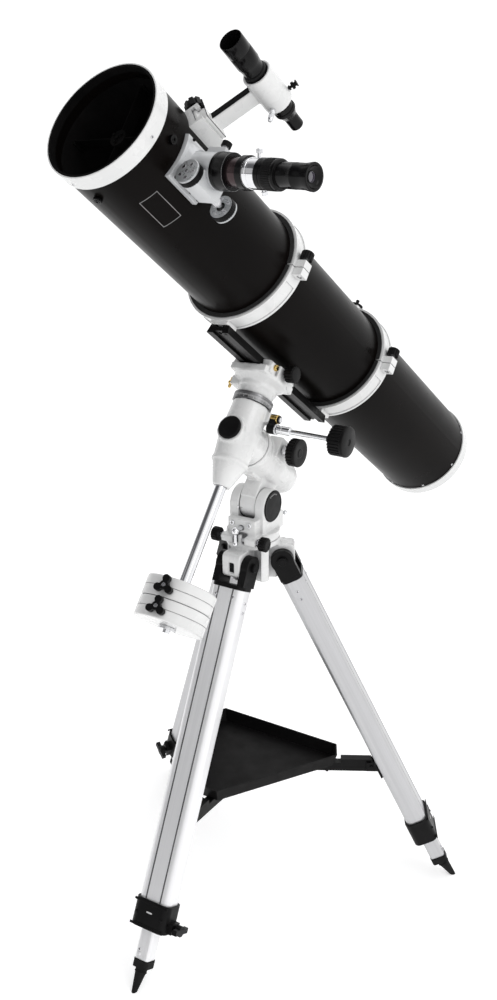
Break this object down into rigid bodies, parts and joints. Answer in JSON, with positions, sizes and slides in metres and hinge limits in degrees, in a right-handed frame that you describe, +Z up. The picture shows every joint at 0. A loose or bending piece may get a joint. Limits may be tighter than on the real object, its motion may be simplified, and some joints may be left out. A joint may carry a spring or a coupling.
{
  "type": "newtonian reflector telescope",
  "caption": "Newtonian reflector on a German equatorial mount, with counterweights, a finder, a rack focuser and an extending tripod with an accessory tray.",
  "frame": {"origin": "bottom centre of the whole telescope's box, on the floor", "axes": "+Z up; -Y towards the north side, where the polar axis points up; +X to the east side, where the right ascension knob is"},
  "size_m": [0.6664, 0.9828, 1.5023],
  "materials": {
    "white_casting": "gloss",
    "white_iron": "gloss",
    "white_steel": "gloss",
    "tube_paint": "satin",
    "leg_aluminium": "satin",
    "black_plastic": "satin",
    "black_paint": "satin",
    "black_alloy": "satin",
    "grey_alloy": "satin",
    "silver_casting": "satin",
    "bright_steel": "polished",
    "rubber": "matte",
    "mirror": "polished"
  },
  "bodies": {
    "hub": {"tripod_hub": "white_casting", "leg_tube_front": "leg_aluminium", "leg_tube_right": "leg_aluminium", "leg_tube_rear": "leg_aluminium", "leg_brackets": "black_plastic", "leg_clamps": "black_plastic", "spreader": "black_plastic", "tray": "black_paint"},
    "lower_front": {"leg_slider_front": "leg_aluminium", "foot_front": "rubber"},
    "lower_right": {"leg_slider_right": "leg_aluminium", "foot_right": "rubber"},
    "lower_rear": {"leg_slider_rear": "leg_aluminium", "foot_rear": "rubber"},
    "wing_front": {"leg_wing_front": "black_plastic"},
    "wing_right": {"leg_wing_right": "black_plastic"},
    "wing_rear": {"leg_wing_rear": "black_plastic"},
    "az": {"azimuth_base": "white_casting"},
    "az_knob_left": {"azimuth_knob_left": "black_plastic"},
    "az_knob_right": {"azimuth_knob_right": "black_plastic"},
    "lat_bolt_north": {"latitude_bolt_north": "bright_steel"},
    "lat_bolt_south": {"latitude_bolt_south": "bright_steel"},
    "lat": {"polar_housing": "white_casting"},
    "ra_drive_knob": {"ra_knob": "black_plastic"},
    "ra": {"dec_housing": "white_casting", "dec_circle": "grey_alloy", "dec_bracket": "black_alloy", "weight_shaft": "bright_steel"},
    "polar_scope_cap": {"polar_cap": "black_plastic"},
    "dec_drive_knob": {"dec_knob": "black_plastic"},
    "weight_a": {"weight_upper": "white_iron"},
    "weight_b": {"weight_lower": "white_iron"},
    "weight_a_knob": {"weight_knob_upper": "black_plastic"},
    "weight_b_knob": {"weight_knob_lower": "black_plastic"},
    "dec": {"saddle": "white_casting"},
    "saddle_screw": {"saddle_knob": "black_plastic"},
    "dec_clamp": {"dec_lock": "bright_steel"},
    "bar": {"dovetail_bar": "black_alloy", "tube_ring_lowers": "white_casting"},
    "ring_front": {"tube_ring_upper_front": "white_casting"},
    "ring_rear": {"tube_ring_upper_rear": "white_casting", "camera_stud": "black_alloy"},
    "ring_screw_front": {"ring_knob_front": "black_plastic"},
    "ring_screw_rear": {"ring_knob_rear": "black_plastic"},
    "ota": {"tube": "tube_paint", "front_ring": "white_steel", "mirror_cell": "white_casting", "primary_mirror": "mirror", "spider": "black_alloy", "secondary_mirror": "mirror", "focuser_body": "silver_casting", "finder_shoe": "white_casting"},
    "draw": {"drawtube": "black_alloy", "eyepiece_adapter": "bright_steel"},
    "focus": {"focus_knobs": "grey_alloy"},
    "focus_screw": {"focus_lock": "black_plastic"},
    "ocular": {"eyepiece": "black_alloy"},
    "finder": {"finder_bracket": "white_casting", "finder_tube": "black_alloy"},
    "finder_screw": {"finder_knob": "black_plastic"}
  },
  "joints": [
    {"name": "leg_extend_front", "type": "slide", "parent": "hub", "child": "lower_front", "axis": [0, -0.4327, -0.9015], "range_m": [0, 0.4]},
    {"name": "leg_wing_turn_front", "type": "hinge", "parent": "hub", "child": "wing_front", "pos_m": [0.05, -0.42403, 0.10267], "axis": [-1, 0, 0], "continuous": true},
    {"name": "leg_extend_right", "type": "slide", "parent": "hub", "child": "lower_right", "axis": [0.3747, 0.2164, -0.9015], "range_m": [0, 0.4]},
    {"name": "leg_wing_turn_right", "type": "hinge", "parent": "hub", "child": "wing_right", "pos_m": [0.24931, 0.09439, 0.10267], "axis": [0.5, -0.866, 0], "continuous": true},
    {"name": "leg_extend_rear", "type": "slide", "parent": "hub", "child": "lower_rear", "axis": [-0.3747, 0.2164, -0.9015], "range_m": [0, 0.4]},
    {"name": "leg_wing_turn_rear", "type": "hinge", "parent": "hub", "child": "wing_rear", "pos_m": [-0.29931, 0.00779, 0.10267], "axis": [0.5, 0.866, 0], "continuous": true},
    {"name": "azimuth", "type": "hinge", "parent": "hub", "child": "az", "pos_m": [0, -0.10729, 0.7], "axis": [0, 0, 1], "range_deg": [-8, 8]},
    {"name": "azimuth_push_left", "type": "slide", "parent": "az", "child": "az_knob_left", "axis": [1, 0, 0], "range_m": [-0.006, 0.006]},
    {"name": "azimuth_push_right", "type": "slide", "parent": "az", "child": "az_knob_right", "axis": [1, 0, 0], "range_m": [-0.006, 0.006]},
    {"name": "latitude", "type": "hinge", "parent": "az", "child": "lat", "pos_m": [0, -0.10078, 0.7514], "axis": [-1, 0, 0], "range_deg": [-10, 10]},
    {"name": "latitude_push_north", "type": "slide", "parent": "az", "child": "lat_bolt_north", "axis": [0, -1, 0], "range_m": [-0.0058, 0.0058]},
    {"name": "latitude_push_south", "type": "slide", "parent": "az", "child": "lat_bolt_south", "axis": [0, -1, 0], "range_m": [-0.0058, 0.0058]},
    {"name": "right_ascension", "type": "hinge", "parent": "lat", "child": "ra", "pos_m": [0, -0.14829, 0.8814], "axis": [0, -0.7688, 0.6394], "range_deg": [-90, 90]},
    {"name": "ra_knob_turn", "type": "hinge", "parent": "lat", "child": "ra_drive_knob", "pos_m": [0.05, -0.0827, 0.84766], "axis": [1, 0, 0], "continuous": true},
    {"name": "declination", "type": "hinge", "parent": "ra", "child": "dec", "pos_m": [0, -0.14829, 0.8814], "axis": [0, 0.6394, 0.7688], "continuous": true},
    {"name": "dec_knob_turn", "type": "hinge", "parent": "ra", "child": "dec_drive_knob", "pos_m": [0.1, -0.12269, 0.89653], "axis": [1, 0, 0], "continuous": true},
    {"name": "polar_cap_pull", "type": "slide", "parent": "ra", "child": "polar_scope_cap", "axis": [0, -0.7688, 0.6394], "range_m": [0, 0.02]},
    {"name": "weight_slide_upper", "type": "slide", "parent": "ra", "child": "weight_a", "axis": [0, 0.6394, 0.7688], "range_m": [0, 0.12]},
    {"name": "weight_slide_lower", "type": "slide", "parent": "ra", "child": "weight_b", "axis": [0, 0.6394, 0.7688], "range_m": [0, 0.06]},
    {"name": "weight_knob_turn_upper", "type": "hinge", "parent": "weight_a", "child": "weight_a_knob", "pos_m": [0.00557, -0.35836, 0.69076], "axis": [0.1392, -0.7614, 0.6332], "continuous": true},
    {"name": "weight_knob_turn_lower", "type": "hinge", "parent": "weight_b", "child": "weight_b_knob", "pos_m": [0.00557, -0.38042, 0.66424], "axis": [0.1392, -0.7614, 0.6332], "continuous": true},
    {"name": "saddle_knob_turn", "type": "hinge", "parent": "dec", "child": "saddle_screw", "pos_m": [0.04958, -0.07651, 0.97778], "axis": [0.9916, -0.0992, 0.0825], "continuous": true},
    {"name": "dec_lock_turn", "type": "hinge", "parent": "dec", "child": "dec_clamp", "pos_m": [-0.05061, -0.0906, 0.95308], "axis": [0.9916, -0.0992, 0.0825], "continuous": true},
    {"name": "bar_slide", "type": "slide", "parent": "dec", "child": "bar", "axis": [-0.129, -0.7624, 0.6341], "range_m": [-0.05, 0.05]},
    {"name": "ring_open_front", "type": "hinge", "parent": "bar", "child": "ring_front", "pos_m": [-0.12735, -0.08869, 1.13847], "axis": [-0.129, -0.7624, 0.6341], "range_deg": [0, 75]},
    {"name": "ring_knob_turn_front", "type": "hinge", "parent": "ring_front", "child": "ring_screw_front", "pos_m": [0.09279, -0.09792, 1.17215], "axis": [0, 0.6394, 0.7688], "continuous": true},
    {"name": "ring_open_rear", "type": "hinge", "parent": "bar", "child": "ring_rear", "pos_m": [-0.08725, 0.14842, 0.94127], "axis": [-0.129, -0.7624, 0.6341], "range_deg": [0, 75]},
    {"name": "ring_knob_turn_rear", "type": "hinge", "parent": "ring_rear", "child": "ring_screw_rear", "pos_m": [0.1329, 0.13919, 0.97495], "axis": [0, 0.6394, 0.7688], "continuous": true},
    {"name": "tube_turn", "type": "hinge", "parent": "bar", "child": "ota", "pos_m": [0, 0.00246, 1.06265], "axis": [-0.129, -0.7624, 0.6341], "continuous": true},
    {"name": "drawtube_travel", "type": "slide", "parent": "ota", "child": "draw", "axis": [0.988, -0.1534, 0.0165], "range_m": [-0.019, 0.03]},
    {"name": "focus_knob_turn", "type": "hinge", "parent": "ota", "child": "focus", "pos_m": [0.06789, -0.34283, 1.30236], "axis": [-0.129, -0.7624, 0.6341], "range_deg": [-290, 185]},
    {"name": "focus_lock_turn", "type": "hinge", "parent": "ota", "child": "focus_screw", "pos_m": [0.08138, -0.30257, 1.35352], "axis": [-0.0847, -0.6286, -0.7731], "continuous": true},
    {"name": "eyepiece_pull", "type": "slide", "parent": "draw", "child": "ocular", "axis": [0.988, -0.1534, 0.0165], "range_m": [0, 0.035]},
    {"name": "finder_slide", "type": "slide", "parent": "ota", "child": "finder", "axis": [-0.129, -0.7624, 0.6341], "range_m": [0, 0.07]},
    {"name": "finder_knob_turn", "type": "hinge", "parent": "ota", "child": "finder_screw", "pos_m": [0.01137, -0.2726, 1.3966], "axis": [0.6334, -0.5553, -0.5389], "continuous": true}
  ],
  "couplings": [
    {"joint": "azimuth_push_left", "follows": "azimuth", "m_per_rad": -0.041},
    {"joint": "azimuth_push_right", "follows": "azimuth", "m_per_rad": -0.041},
    {"joint": "latitude_push_north", "follows": "latitude", "m_per_rad": 0.0316},
    {"joint": "latitude_push_south", "follows": "latitude", "m_per_rad": 0.0316},
    {"joint": "weight_slide_lower", "follows": "weight_slide_upper", "ratio": 0.5},
    {"joint": "focus_knob_turn", "follows": "drawtube_travel", "rad_per_m": -166.67}
  ]
}
